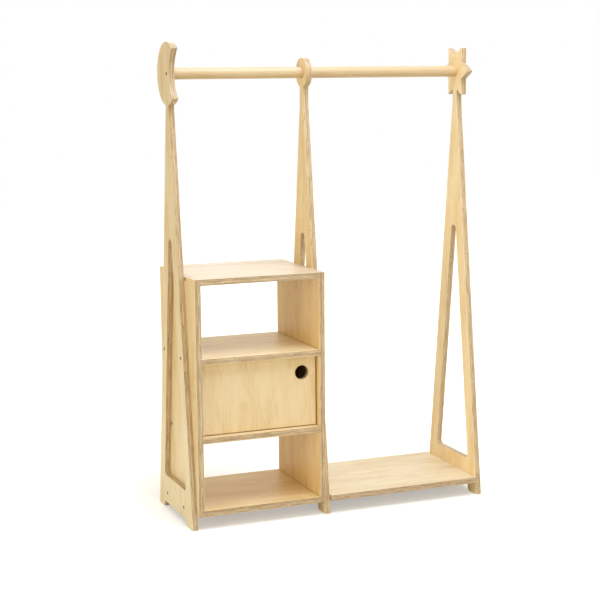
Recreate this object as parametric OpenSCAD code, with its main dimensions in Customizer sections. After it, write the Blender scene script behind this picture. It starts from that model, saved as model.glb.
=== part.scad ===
// Dressing-up storage unit: a small cabinet and a hanging bay between three
// tapered trestles that carry one rail. X runs along the rail, the front faces -Y
// and Z is up. The origin is on the floor, at the middle of the outer box.

/* [Board] */
// Thickness of the plywood of every panel
ply = 15; // [14:0.5:16]
// Depth of the cabinet and of the bay shelf
depth = 282; // [278:1:300]
// Depth of the housings that hold the shelf ends in the cabinet sides
housing = 4; // [3:0.5:6]

/* [Cabinet] */
// Clear width between the cabinet sides
inner_w = 300; // [280:5:360]
// Height of the top face of the cabinet
top_z = 608; // [600:1:620]
// Height of the top face of the upper shelf
upper_z = 418; // [410:1:430]
// Height of the top face of the lower shelf
lower_z = 227; // [215:1:235]
// Height of the top face of the cabinet base and of the bay shelf
base_z = 48; // [44:1:52]
// Thickness of the panel that closes the cupboard at the back
back_t = 6; // [4:0.5:9]
// Distance from the rear edges to the back panel
back_inset = 10; // [8:1:30]

/* [Hanging bay] */
// Clear width between the centre trestle and the right trestle
bay_w = 410; // [350:5:500]
// Diameter of the rail
rail_d = 28; // [25:1:32]
// Height of the rail axis
rail_z = 1085; // [1080:5:1120]

/* [Trestles] */
// Width across the feet
foot_spread = 272; // [266:1:276]
// Width of each foot
foot_w = 46; // [36:1:60]
// Height of the arch between the feet
foot_h = 15; // [10:1:20]
// Radius of the inner corner of each foot
foot_r = 9; // [4:1:12]
// Height of the sill of the tall window
sill_z = 86; // [80:1:100]
// Height of the top of the tall window
window_top = 690; // [660:5:710]
// Window half width where its sides would meet the floor
window_reach = 98; // [90:1:102]
// Radius of the lower corners of the window
sill_r = 10; // [5:1:15]
// Width of the straight stem under each head
stem_w = 21; // [18:1:28]
// Height where the tapered sides turn into the stem
stem_z = 1004; // [990:1:1015]

/* [Heads] */
// Radius of the moon
moon_r = 75; // [70:1:80]
// Radius of the bite that makes the moon a crescent
bite_r = 73; // [68:1:76]
// Distance from the moon centre to the bite centre
bite_offset = 91; // [88:1:95]
// Distance from the moon centre forward to its blunt tips
moon_tip_y = 45.6; // [44:0.2:46]
// Outer radius of the ring
ring_r = 36; // [30:1:45]
// Distance from the star centre to its unrounded tips
star_r = 69; // [60:1:75]
// Length that is taken off the star's sharp tips
star_blunt = 1.5; // [1:0.5:4]

/* [Door] */
// Distance from the front edges back to the door
door_recess = 17; // [15:1:18]
// Gap at the hinge side of the door
hinge_gap = 2; // [1.5:0.5:3]
// Gap at the free side of the door
free_gap = 3.5; // [3:0.5:5]
// Gap above and below the door
end_gap = 2; // [1.5:0.5:3]
// Diameter of the finger hole
finger_d = 35; // [30:1:40]
// Distance from the free edge of the door to the hole centre
finger_in = 36.5; // [30:0.5:60]
// Distance from the top of the door to the hole centre
finger_down = 39; // [36:1:80]

/* [Hinges and catch] */
// Length of each hinge
hinge_h = 50; // [40:5:60]
// Width of a hinge leaf from the pin axis
leaf_w = 17; // [15:0.5:17.5]
// Thickness of a hinge leaf
leaf_t = 1.2; // [1:0.1:1.4]
// Outer radius of the hinge knuckle
knuckle_r = 2.75; // [2.6:0.05:3]
// Radius of the hinge pin
pin_r = 1.25; // [1.1:0.05:1.3]
// Distance from the door ends to the nearer hinge end
hinge_in = 12; // [8:1:30]
// Width of the magnetic catch
catch_w = 40; // [30:1:46]

/* [Mirror] */
// Thickness of the mirror sheet
mirror_t = 3; // [2:0.5:4]
// Gap between the mirror and the window around it
mirror_gap = 3; // [2:0.5:6]
// Height of the upper edge of the mirror
mirror_top = 590; // [560:1:600]

/* [Fixings] */
// Distance of the panel screws from the middle line
screw_y = 67; // [66:0.5:68]
// Radius of a panel screw
screw_r = 2.5; // [2:0.25:3]
// Radius of a panel screw head
head_r = 4; // [3.5:0.25:4.5]
// Length of the screws that pass a trestle and a cabinet side
long_screw = 60; // [50:5:70]
// Length of the screws that pass one board
short_screw = 40; // [30:5:50]
// Radius of the dowels at the cabinet end of the bay shelf
dowel_r = 4; // [3:0.5:5]
// Distance of the dowels from the middle line
dowel_y = 100; // [90:1:110]
// Length of the dowels
dowel_len = 30; // [25:1:35]

/* [Hidden] */
$fn = 64;

birch = [0.90, 0.80, 0.61];
birch_inner = [0.84, 0.71, 0.50];
pale_wood = [0.93, 0.85, 0.68];
dark_steel = [0.33, 0.28, 0.20];
steel = [0.72, 0.72, 0.70];
white_plastic = [0.93, 0.92, 0.88];
silvered = [0.86, 0.89, 0.90];

// Clearance of screws and pins, slack of loose parts, overshoot of every cut,
// and the number of chords in a rounded corner
fit_gap = 0.05;
slip = 0.25;
past = 1;
arc_steps = 12;

// Places along X: the left face of each upright and the ends of the cabinet's inside
unit_w = 5 * ply + inner_w + bay_w;
left_x = -unit_w / 2;
side_left_x = left_x + ply;
inside_x = side_left_x + ply;
side_right_x = inside_x + inner_w;
centre_x = side_right_x + ply;
bay_x = centre_x + ply;
right_x = bay_x + bay_w;

shelf_len = inner_w + 2 * housing;
top_mid = top_z - ply / 2;
upper_mid = upper_z - ply / 2;
lower_mid = lower_z - ply / 2;
base_mid = base_z - ply / 2;
base_under = base_z - ply;
back_y = depth / 2 - back_inset - back_t;
dowel_in = 10;

// Trestle outline: the taper, and the apex where the window's sides would meet
foot_half = foot_spread / 2;
stem_half = stem_w / 2;
taper = (foot_half - stem_half) / stem_z;
window_apex = window_reach / taper;
window_tilt = atan(taper);
window_top_r = (window_apex - window_top) / (1 / sin(window_tilt) - 1);
ring_hole_r = rail_d / 2 + slip;

// Door, and the vertical axis that it turns on
door_y = -depth / 2 + door_recess;
door_x = inside_x + hinge_gap;
door_w = inner_w - hinge_gap - free_gap;
door_z = lower_z + end_gap;
door_h = upper_z - ply - end_gap - door_z;
finger_x = door_x + door_w - finger_in;
finger_z = door_z + door_h - finger_down;

knuckle_gap = 0.3;
knuckle_count = 5;
knuckle_len = hinge_h / knuckle_count;
pin_bore_r = pin_r + fit_gap;
axis_x = inside_x + knuckle_r;
axis_y = door_y - knuckle_r - knuckle_gap;
door_leaf_x = axis_x + knuckle_r - leaf_t;
leaf_end_y = axis_y + leaf_w;
hinge_zs = [door_z + hinge_in, door_z + door_h - hinge_in - hinge_h];
hinge_screw_r = 1.25;
hinge_head_r = 2.6;
hinge_screw_len = 11;
hinge_screw_y = axis_y + 0.6 * leaf_w;
hinge_screw_offsets = [hinge_h * 0.2, hinge_h * 0.8];

// Magnetic catch under the upper shelf, behind the free edge of the door
plate_t = 1.2;
catch_gap = 0.3;
catch_d = 12;
catch_h = 14;
catch_in = 32;
catch_mid_x = side_right_x - catch_in;
catch_y = door_y + ply + plate_t + catch_gap;
catch_top = upper_z - ply;
catch_screw_r = 1.5;
catch_head_r = 3;
catch_head_h = 1.6;
catch_screw_up = 9;
catch_screw_out = 0.36 * catch_w;
catch_screw_xs = [catch_mid_x - catch_screw_out, catch_mid_x + catch_screw_out];
plate_h = 12;
plate_in = 1;
plate_z = door_z + door_h - plate_in - plate_h;
plate_screw_len = 10;
plate_head_r = 2.7;

// Mirror in the window of the centre trestle, on the cabinet side
mirror_x = centre_x;
mirror_screw_r = 1.75;
mirror_head_r = 4;
mirror_head_h = 2;
mirror_screw_in = 14;
mirror_screw_len = 12;
mirror_top_screw_in = 8;
mirror_top_r = 4;
mirror_low_z = sill_z + mirror_gap;

function window_half(z) = window_reach - taper * z;
mirror_low_half = window_half(mirror_low_z) - mirror_gap;
mirror_top_half = window_half(mirror_top) - mirror_gap;
mirror_screw_places = [
    for (side = [-1, 1]) [side * (mirror_low_half - mirror_screw_in), mirror_low_z + mirror_screw_in],
    for (side = [-1, 1]) [side * (mirror_top_half - mirror_top_screw_in), mirror_top - mirror_screw_in]
];

function unit(v) = v / norm(v);
function before(p, i) = unit(p[(i + len(p) - 1) % len(p)] - p[i]);
function after(p, i) = unit(p[(i + 1) % len(p)] - p[i]);
function half_angle(p, i) = acos(before(p, i) * after(p, i)) / 2;
function turned(v, a) = [v[0] * cos(a) - v[1] * sin(a), v[0] * sin(a) + v[1] * cos(a)];

// Points of the arc of radius r that rounds corner i of a convex outline
function corner_arc(p, i, r) =
    let (
        half = half_angle(p, i),
        centre = p[i] + r / sin(half) * unit(before(p, i) + after(p, i)),
        start = p[i] + r / tan(half) * before(p, i) - centre
    )
    [for (k = [0 : arc_steps]) centre + turned(start, (180 - 2 * half) * k / arc_steps)];

// A convex outline, drawn anticlockwise, whose corners are rounded to the given radii
module rounded_outline(corners, radii) {
    polygon([for (i = [0 : len(corners) - 1]) each corner_arc(corners, i, radii[i])]);
}

// Stands a flat outline up: its x runs along Y, its y along Z, its thickness along X
module upright(x, thickness) {
    translate([x, 0, 0])
        rotate([90, 0, 90])
            linear_extrude(height = thickness)
                children();
}

// A straight round bar along X, from x, through the point y, z
module bar_x(x, y, z, r, length) {
    translate([x, y, z])
        rotate([0, 90, 0])
            cylinder(r = r, h = length);
}

// Countersunk screw that enters at face x and points along way, which is 1 or -1
module screw_x(x, y, z, r, head, length, way) {
    translate([x, y, z])
        rotate([0, 90 * way, 0]) {
            cylinder(r = r, h = length);
            cylinder(r1 = head, r2 = r, h = head - r);
        }
}

// Hole for screw_x, a little wider all round and open at the face
module screw_hole_x(x, y, z, r, head, length, way) {
    screw_x(x, y, z, r + fit_gap, head + fit_gap, length + fit_gap, way);
    translate([x, y, z])
        rotate([0, -90 * way, 0])
            cylinder(r = head + fit_gap, h = past);
}

// Crescent that opens towards the front, with blunt tips
module moon_outline() {
    difference() {
        circle(r = moon_r, $fn = 128);
        translate([-bite_offset, 0])
            circle(r = bite_r, $fn = 128);
        translate([-moon_r - moon_tip_y, -moon_r])
            square([moon_r, 2 * moon_r]);
    }
}

// Six blunt points made by two crossed triangles
module star_outline() {
    intersection() {
        for (turn = [0, 180])
            rotate(turn)
                polygon([for (i = [0 : 2]) star_r * [cos(120 * i), sin(120 * i)]]);
        circle(r = star_r - star_blunt);
    }
}

module ring_outline() {
    circle(r = ring_r);
}

// Tapered frame with a tall window, two feet and a stem that carries the head
module trestle_outline(stem_top) {
    difference() {
        union() {
            polygon([
                [-foot_half, 0], [foot_half, 0], [stem_half, stem_z], [stem_half, stem_top],
                [-stem_half, stem_top], [-stem_half, stem_z]
            ]);
            translate([0, rail_z])
                children();
        }
        rounded_outline(
            [[-window_half(sill_z), sill_z], [window_half(sill_z), sill_z], [0, window_apex]],
            [sill_r, sill_r, window_top_r]
        );
        foot_arch();
    }
}

// Space between the feet, with the inner foot corners rounded
module foot_arch() {
    arch_half = foot_half - foot_w;
    translate([-arch_half, -past])
        square([2 * arch_half, foot_h + past]);
    for (side = [-1, 1])
        difference() {
            translate([side * (arch_half + foot_r / 2), (foot_r - past) / 2])
                square([foot_r, foot_r + past], center = true);
            translate([side * (arch_half + foot_r), foot_r])
                circle(r = foot_r);
        }
}

// Screw holes through an upright at one face, for the given heights
module panel_screw_holes(x, heights, length, way) {
    for (z = heights, side = [-1, 1])
        screw_hole_x(x, side * screw_y, z, screw_r, head_r, length, way);
}

// The screws that fill panel_screw_holes
module panel_screws(x, heights, length, way) {
    for (z = heights, side = [-1, 1])
        screw_x(x, side * screw_y, z, screw_r, head_r, length, way);
}

// Dowels between the centre trestle and the bay shelf, widened by gap for their holes
module dowels(gap) {
    for (side = [-1, 1])
        bar_x(bay_x - dowel_in - gap, side * dowel_y, base_mid, dowel_r + gap, dowel_len + 2 * gap);
}

module trestle_left() {
    color(birch)
    difference() {
        upright(left_x, ply)
            trestle_outline(rail_z)
                moon_outline();
        panel_screw_holes(left_x, [upper_mid, base_mid], long_screw, 1);
        screw_hole_x(left_x, 0, rail_z, screw_r, head_r, short_screw, 1);
    }
}

module trestle_centre() {
    color(birch)
    difference() {
        upright(centre_x, ply)
            trestle_outline(rail_z)
                ring_outline();
        bar_x(centre_x - past, 0, rail_z, ring_hole_r, ply + 2 * past);
        panel_screw_holes(bay_x, [upper_mid, base_mid], long_screw, -1);
        dowels(fit_gap);
    }
}

module trestle_right() {
    color(birch)
    difference() {
        upright(right_x, ply)
            trestle_outline(rail_z - star_r / 2)
                star_outline();
        panel_screw_holes(right_x + ply, [base_mid], short_screw, -1);
        screw_hole_x(right_x + ply, 0, rail_z, screw_r, head_r, short_screw, -1);
    }
}

module hanging_rail() {
    color(pale_wood)
    difference() {
        bar_x(side_left_x, 0, rail_z, rail_d / 2, right_x - side_left_x);
        rail_screw_holes();
    }
}

module rail_screw_holes() {
    screw_hole_x(left_x, 0, rail_z, screw_r, head_r, short_screw, 1);
    screw_hole_x(right_x + ply, 0, rail_z, screw_r, head_r, short_screw, -1);
}

module rail_screws() {
    color(dark_steel) {
        screw_x(left_x, 0, rail_z, screw_r, head_r, short_screw, 1);
        screw_x(right_x + ply, 0, rail_z, screw_r, head_r, short_screw, -1);
    }
}

// Side of the cabinet, housed for the four boards; inner is the X of its inner face
// and way points into the cabinet
module cabinet_side(x, inner, way) {
    difference() {
        translate([x, -depth / 2, base_under])
            cube([ply, depth, top_z - base_under]);
        for (z = [top_z, upper_z, lower_z])
            translate([inner - housing, -depth / 2 - past, z - ply])
                cube([2 * housing, depth + 2 * past, ply + (z == top_z ? past : 0)]);
        translate([inner - housing, -depth / 2 - past, base_under - past])
            cube([2 * housing, depth + 2 * past, ply + past]);
        translate([inner - housing, back_y - fit_gap, lower_z - housing])
            cube([2 * housing, back_t + 2 * fit_gap, catch_top - lower_z + 2 * housing]);
        panel_screw_holes(inner - way * 2 * ply, [upper_mid, base_mid], long_screw, way);
        panel_screw_holes(inner - way * ply, [top_mid, lower_mid], short_screw, way);
    }
}

module cabinet_side_left() {
    color(birch)
    difference() {
        cabinet_side(side_left_x, inside_x, 1);
        hinge_frame_screw_holes();
    }
}

module cabinet_side_right() {
    color(birch)
    difference() {
        cabinet_side(side_right_x, side_right_x, -1);
        mirror_screw_holes();
    }
}

// Board between the cabinet sides whose top face is at z
module housed_board(z) {
    translate([inside_x - housing, -depth / 2, z - ply])
        cube([shelf_len, depth, ply]);
}

// Holes from both sides into the ends of a board
module end_screw_holes(z, length, outset) {
    panel_screw_holes(inside_x - outset, [z - ply / 2], length, 1);
    panel_screw_holes(side_right_x + outset, [z - ply / 2], length, -1);
}

// Groove for the back panel, in the face that starts at z
module back_groove(z) {
    translate([inside_x - housing - past, back_y - fit_gap, z])
        cube([shelf_len + 2 * past, back_t + 2 * fit_gap, housing]);
}

module cabinet_top() {
    color(birch)
    difference() {
        housed_board(top_z);
        end_screw_holes(top_z, short_screw, ply);
    }
}

module upper_shelf() {
    color(birch)
    difference() {
        housed_board(upper_z);
        end_screw_holes(upper_z, long_screw, 2 * ply);
        back_groove(upper_z - ply);
        catch_body_screw_holes();
    }
}

module lower_shelf() {
    color(birch)
    difference() {
        housed_board(lower_z);
        end_screw_holes(lower_z, short_screw, ply);
        back_groove(lower_z - housing);
    }
}

module cabinet_base() {
    color(birch)
    difference() {
        housed_board(base_z);
        end_screw_holes(base_z, long_screw, 2 * ply);
    }
}

module cupboard_back() {
    color(birch_inner)
        translate([inside_x - housing + slip, back_y, lower_z - housing + slip])
            cube([shelf_len - 2 * slip, back_t, catch_top - lower_z + 2 * housing - 2 * slip]);
}

module shelf_screws_left() {
    color(dark_steel)
        panel_screws(left_x, [upper_mid, base_mid], long_screw, 1);
}

module shelf_screws_right() {
    color(dark_steel)
        panel_screws(bay_x, [upper_mid, base_mid], long_screw, -1);
}

module side_screws_left() {
    color(dark_steel)
        panel_screws(side_left_x, [top_mid, lower_mid], short_screw, 1);
}

module side_screws_right() {
    color(dark_steel)
        panel_screws(centre_x, [top_mid, lower_mid], short_screw, -1);
}

module bay_shelf() {
    color(birch)
    difference() {
        translate([bay_x, -depth / 2, base_under])
            cube([bay_w, depth, ply]);
        panel_screw_holes(right_x + ply, [base_mid], short_screw, -1);
        dowels(fit_gap);
    }
}

module bay_shelf_screws() {
    color(dark_steel)
        panel_screws(right_x + ply, [base_mid], short_screw, -1);
}

module bay_shelf_dowels() {
    color(pale_wood)
        dowels(0);
}

// Inset door, let in for the hinge leaves at its left edge
module door() {
    color(birch)
    difference() {
        translate([door_x, door_y, door_z])
            cube([door_w, ply, door_h]);
        translate([finger_x, door_y - past, finger_z])
            rotate([-90, 0, 0])
                cylinder(d = finger_d, h = ply + 2 * past);
        for (z = hinge_zs)
            translate([door_x - past, door_y - past, z - fit_gap])
                cube([axis_x + knuckle_r - door_x + past, leaf_end_y - door_y + past + fit_gap,
                      hinge_h + 2 * fit_gap]);
        hinge_door_screw_holes();
        plate_screw(fit_gap);
    }
}

// Leaf with its knuckles; odd is 1 for the leaf that holds the end knuckles
module hinge_leaf(x, z, odd) {
    difference() {
        union() {
            translate([x, axis_y + knuckle_r + knuckle_gap, z])
                cube([leaf_t, leaf_w - knuckle_r - knuckle_gap, hinge_h]);
            for (i = [1 - odd : 2 : knuckle_count - 1])
                translate([0, 0, z + i * knuckle_len + knuckle_gap / 2]) {
                    translate([axis_x, axis_y, 0])
                        cylinder(r = knuckle_r, h = knuckle_len - knuckle_gap);
                    translate([x, axis_y, 0])
                        cube([leaf_t, knuckle_r + knuckle_gap + past, knuckle_len - knuckle_gap]);
                }
        }
        translate([axis_x, axis_y, z - past])
            cylinder(r = pin_bore_r, h = hinge_h + 2 * past);
    }
}

module hinge_frame_leaves() {
    color(steel)
    difference() {
        for (z = hinge_zs)
            hinge_leaf(inside_x, z, 1);
        hinge_frame_screw_holes();
    }
}

module hinge_door_leaves() {
    color(steel)
    difference() {
        for (z = hinge_zs)
            hinge_leaf(door_leaf_x, z, 0);
        hinge_door_screw_holes();
    }
}

module hinge_pins() {
    color(steel)
    for (z = hinge_zs)
        translate([axis_x, axis_y, z])
            cylinder(r = pin_r, h = hinge_h);
}

module hinge_frame_screw_holes() {
    for (z = hinge_zs, up = hinge_screw_offsets)
        screw_hole_x(inside_x + leaf_t, hinge_screw_y, z + up,
                     hinge_screw_r, hinge_head_r, hinge_screw_len, -1);
}

module hinge_door_screw_holes() {
    for (z = hinge_zs, up = hinge_screw_offsets)
        screw_hole_x(door_leaf_x, hinge_screw_y, z + up,
                     hinge_screw_r, hinge_head_r, hinge_screw_len, 1);
}

module hinge_frame_screws() {
    color(steel)
    for (z = hinge_zs, up = hinge_screw_offsets)
        screw_x(inside_x + leaf_t, hinge_screw_y, z + up,
                hinge_screw_r, hinge_head_r, hinge_screw_len, -1);
}

module hinge_door_screws() {
    color(steel)
    for (z = hinge_zs, up = hinge_screw_offsets)
        screw_x(door_leaf_x, hinge_screw_y, z + up,
                hinge_screw_r, hinge_head_r, hinge_screw_len, 1);
}

// Magnet block that hangs under the upper shelf
module catch_body() {
    color(white_plastic)
    difference() {
        translate([catch_mid_x - catch_w / 2, catch_y, catch_top - catch_h])
            cube([catch_w, catch_d, catch_h]);
        catch_body_screw_holes();
    }
}

module catch_body_screw_holes() {
    for (x = catch_screw_xs)
        translate([x, catch_y + catch_d / 2, catch_top - catch_h - past])
            cylinder(r = catch_screw_r + fit_gap, h = catch_h + catch_screw_up + past + fit_gap);
}

module catch_body_screws() {
    color(steel)
    for (x = catch_screw_xs)
        translate([x, catch_y + catch_d / 2, catch_top - catch_h - catch_head_h]) {
            cylinder(r = catch_head_r, h = catch_head_h);
            cylinder(r = catch_screw_r, h = catch_head_h + catch_h + catch_screw_up);
        }
}

// Steel plate on the back of the door, which the magnet holds
module catch_plate() {
    color(steel)
    difference() {
        translate([catch_mid_x - catch_w / 2, door_y + ply, plate_z])
            cube([catch_w, plate_t, plate_h]);
        plate_screw(fit_gap);
    }
}

module plate_screw(gap) {
    translate([catch_mid_x, door_y + ply + plate_t, plate_z + plate_h / 2])
        rotate([90, 0, 0]) {
            cylinder(r = catch_screw_r + gap, h = plate_screw_len + gap);
            cylinder(r1 = plate_head_r + gap, r2 = catch_screw_r + gap, h = plate_t);
        }
}

module catch_plate_screw() {
    color(steel)
        plate_screw(0);
}

module mirror() {
    color(silvered)
    difference() {
        upright(mirror_x, mirror_t)
            rounded_outline(
                [[-mirror_low_half, mirror_low_z], [mirror_low_half, mirror_low_z],
                 [mirror_top_half, mirror_top], [-mirror_top_half, mirror_top]],
                [sill_r, sill_r, mirror_top_r, mirror_top_r]
            );
        mirror_screw_holes();
    }
}

module mirror_screw_holes() {
    for (place = mirror_screw_places)
        bar_x(mirror_x + mirror_t - mirror_screw_len - fit_gap, place[0], place[1],
              mirror_screw_r + fit_gap, mirror_screw_len + past);
}

module mirror_screws() {
    color(steel)
    for (place = mirror_screw_places) {
        bar_x(mirror_x + mirror_t - mirror_screw_len, place[0], place[1],
              mirror_screw_r, mirror_screw_len);
        bar_x(mirror_x + mirror_t, place[0], place[1], mirror_head_r, mirror_head_h);
    }
}

trestle_left();
trestle_centre();
trestle_right();
hanging_rail();
rail_screws();
cabinet_side_left();
cabinet_side_right();
cabinet_top();
upper_shelf();
lower_shelf();
cabinet_base();
cupboard_back();
shelf_screws_left();
shelf_screws_right();
side_screws_left();
side_screws_right();
bay_shelf();
bay_shelf_screws();
bay_shelf_dowels();
door();
hinge_frame_leaves();
hinge_door_leaves();
hinge_pins();
hinge_frame_screws();
hinge_door_screws();
catch_body();
catch_body_screws();
catch_plate();
catch_plate_screw();
mirror();
mirror_screws();
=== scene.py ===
"""Looks of the dressing-up storage unit: three plywood trestles that carry one rail, a small
cabinet with a door, a low bay shelf and a mirror, in a plain pale studio.

The file is laid out as a Blender add-on and is run as a script. Everything is in metres, in
the frame of the packed CAD model: X along the rail, the front faces -Y, Z is up.
"""

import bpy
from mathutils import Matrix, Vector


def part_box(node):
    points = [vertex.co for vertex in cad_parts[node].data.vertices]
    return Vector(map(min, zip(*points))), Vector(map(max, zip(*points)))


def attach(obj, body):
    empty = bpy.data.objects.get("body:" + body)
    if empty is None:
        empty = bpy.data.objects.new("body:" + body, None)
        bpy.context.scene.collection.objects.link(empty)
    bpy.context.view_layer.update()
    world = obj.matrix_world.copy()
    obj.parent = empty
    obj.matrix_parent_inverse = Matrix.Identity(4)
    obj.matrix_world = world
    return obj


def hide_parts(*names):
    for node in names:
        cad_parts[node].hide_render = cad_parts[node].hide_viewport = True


bl_info = {
    "name": "Dressing-up storage unit",
    "version": (1, 0, 0),
    "blender": (4, 5, 0),
    "location": "3D Viewport > Sidebar > Storage unit",
    "description": "Builds the plywood, rail, fixings, mirror and studio of the storage unit",
    "category": "Object",
}

import math

import bmesh
import bpy
from mathutils import Matrix, Vector

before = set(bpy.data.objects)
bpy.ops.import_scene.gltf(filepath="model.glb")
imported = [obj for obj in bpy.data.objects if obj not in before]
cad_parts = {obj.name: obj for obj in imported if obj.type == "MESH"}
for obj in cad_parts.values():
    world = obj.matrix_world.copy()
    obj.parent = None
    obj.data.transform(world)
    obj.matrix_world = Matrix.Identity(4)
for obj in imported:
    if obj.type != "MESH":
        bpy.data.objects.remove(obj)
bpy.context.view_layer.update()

MM = 0.001
AXES = "XYZ"

# Turn of a flat outline, as Euler angles, by the axis that its thickness then runs along: its
# own x and y come to run along Y and Z, along X and Z with the thickness along -Y, or stay
OUTLINE_TURNS = {
    "X": (math.pi / 2, 0.0, math.pi / 2),
    "Y": (math.pi / 2, 0.0, 0.0),
    "Z": (0.0, 0.0, 0.0),
}

# Turns of a screw, named for the side that its head faces
TO_LEFT = (0.0, -math.pi / 2, 0.0)
TO_RIGHT = (0.0, math.pi / 2, 0.0)
TO_REAR = (-math.pi / 2, 0.0, 0.0)
TO_FLOOR = (math.pi, 0.0, 0.0)

# Edges that turn by more than this are sharp: they are eased and shaded apart
SHARP_ANGLE = math.radians(32)

# Play of the rail in its ring, of the boards in their housings and of the hinge leaves in the
# door, rounding of a board's corners, and how far a cutter reaches past what it cuts
RAIL_PLAY = 0.25 * MM
HOUSING_PLAY = 0.8 * MM
LEAF_PLAY = 0.05 * MM
CORNER_ROUND = 1 * MM
PAST = 20 * MM

# Small zinc screws, in millimetres: radius and height of the head, radius and length of the
# shank, depth of the cross recess, width of the eased edges, and whether the head is sunk
ZINC_SCREWS = {
    "hinge": (2.6, 1.35, 1.25, 11, 0.9, 0.08, True),
    "catch body": (3, 1.6, 1.5, 23, 0.9, 0.5, False),
    "catch plate": (2.7, 1.2, 1.5, 10, 0.8, 0.08, True),
    "mirror": (4, 2, 1.75, 12, 1.1, 0.8, False),
}

# Boards of the cabinet from the top down. The screws of every second one go through a trestle
# too, those of the others through a side alone.
BOARDS = ("cabinet_top", "upper_shelf", "lower_shelf", "cabinet_base")
BY_SIDE, BY_TRESTLE = BOARDS[::2], BOARDS[1::2]

# Two screws hold each hinge leaf, at these shares of its height
HINGE_SCREWS = (0.2, 0.8)

# Lamps, by the name of their level: place, target, width and colour
COOL, PLAIN, WARM = (0.85, 0.965, 1.26), (1.0, 1.0, 1.0), (1.03, 1.02, 0.95)
LAMPS = {
    "overhead": ((0.1, -0.9, 2.9), (0.0, 0.0, 0.3), 1.6, COOL),
    "front": ((0.9, -4.2, 1.9), (0.0, 0.0, 0.6), 2.6, PLAIN),
    "side": ((-3.1, -1.05, 0.62), (0.0, 0.0, 0.3), 1.2, WARM),
    "rear": ((0.3, 3.2, 2.4), (0.0, 0.0, 0.7), 2.4, PLAIN),
}

# Colour of the sky's light and of the floor, and half the floor's width
SKY_TINT = (1.1, 1.04, 0.87)
FLOOR_TINT = (1.0, 0.97, 0.88)
FLOOR_HALF = 9.0

# The camera of the photograph: its place, its turn, tilt and roll in degrees, and its lens and
# the width of its sensor in millimetres
CAMERA_PLACE = (-1.4128, -3.3627, 1.0856)
CAMERA_ANGLES = (-21.984, 8.864, -0.475)
CAMERA_LENS = 87.61
CAMERA_SENSOR = 36.0


def srgb(red, green, blue):
    """Linear colour of a value that is written as it shows on a screen, 0 to 255."""
    channels = (value / 255 for value in (red, green, blue))
    linear = (c / 12.92 if c <= 0.04045 else ((c + 0.055) / 1.055) ** 2.4 for c in channels)
    return (*linear, 1.0)


def length(name, description, value):
    """Length property, written in millimetres."""
    return bpy.props.FloatProperty(
        name=name, description=description, default=value * MM, min=0.0, unit="LENGTH", precision=4
    )


def amount(name, description, value, most=1.0):
    """Plain number property."""
    return bpy.props.FloatProperty(
        name=name, description=description, default=value, min=0.0, max=most
    )


def colour(name, description, value):
    """Colour property, written as it shows on a screen."""
    return bpy.props.FloatVectorProperty(
        name=name,
        description=description,
        default=srgb(*value),
        size=4,
        subtype="COLOR",
        min=0.0,
        max=1.0,
    )


class TrestleSizes(bpy.types.PropertyGroup):
    """Outline of the trestles and their heads"""

    foot_width: length("Foot width", "Width of each foot on the floor", 46)
    foot_round: length("Foot rounding", "Radius of the inner corner of each foot", 9)
    arch_height: length("Arch height", "Height of the arch between the feet", 15)
    stem_width: length("Stem width", "Width of the straight stem under each head", 21)
    stem_height: length("Stem height", "Height where the tapered sides turn into the stem", 1004)
    sill_height: length("Sill height", "Height of the lower edge of the tall window", 86)
    window_top: length("Window top", "Height of the top of the tall window", 690)
    window_reach: length("Window reach", "Window half width if its sides met the floor", 98)
    sill_round: length("Sill rounding", "Radius of the lower corners of the window", 10)
    moon_radius: length("Moon radius", "Outer radius of the moon", 75)
    bite_radius: length("Bite radius", "Radius of the bite that makes the moon a crescent", 73)
    bite_offset: length("Bite offset", "Distance from the moon's centre to the bite's centre", 91)
    ring_radius: length("Ring radius", "Outer radius of the ring", 36)
    star_radius: length("Star radius", "Distance from the star's centre to its sharp tips", 69)
    tip_round: length("Tip rounding", "Radius that blunts the tips of the moon and the star", 1.5)
    easing: length("Edge easing", "Width of the sanded edges of every board", 0.7)


class PlywoodLook(bpy.types.PropertyGroup):
    """Colours and figure of the lacquered birch plywood"""

    plies: bpy.props.IntProperty(
        name="Plies", description="Number of veneers in a 15 mm board", default=11, min=3, max=15
    )
    face_light: colour("Face, light", "Colour of the faces between the rings", (239, 215, 165))
    face_dark: colour("Face, dark", "Colour of the growth rings of the faces", (217, 179, 115))
    core: colour("Core", "Colour of core plies sawn along their grain", (240, 216, 175))
    end_light: colour("End grain, light", "Colour of end grain between its pores", (236, 208, 163))
    end_dark: colour("End grain, dark", "Colour of the pores in end grain", (156, 120, 80))
    band: colour("Dark plies", "Colour of the darkest core plies", (134, 92, 52))
    glue: colour("Glue line", "Colour of the glue between two plies", (120, 88, 56))
    # Painted shade: the dark colour inside the core gaps stands in for the shade in them
    gap: colour("Core gap", "Colour inside the small gaps in the core plies", (84, 58, 34))
    figure: amount("Figure", "Strength of the growth rings on the faces", 0.42)
    banding: amount("Banding", "How dark the darkest core plies are", 0.42)
    roughness: amount("Roughness", "Roughness of the lacquer", 0.4)


class FixingSizes(bpy.types.PropertyGroup):
    """Screws and small metal parts"""

    panel_head: length("Panel screw head", "Radius of the head of a panel screw", 4)
    panel_shank: length("Panel screw shank", "Radius of the shank of a panel screw", 2.5)
    long_screw: length("Long screw", "Length of the screws through a trestle and a side", 60)
    short_screw: length("Short screw", "Length of the screws through one board", 40)
    panel_reach: length("Panel screw place", "Distance of the panel screws from the middle", 67)
    head_gap: length("Head gap", "Gap round each sunk screw head", 0.2)
    recess: length("Panel screw recess", "Depth of the cross recess of a panel screw", 1.3)
    head_easing: length("Head easing", "Width of the eased edges of a panel screw", 0.12)
    screw_colour: colour("Screw colour", "Colour of the bronzed panel screws", (78, 58, 32))
    zinc_colour: colour("Zinc colour", "Colour of the zinc plated metal", (203, 203, 198))


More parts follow.
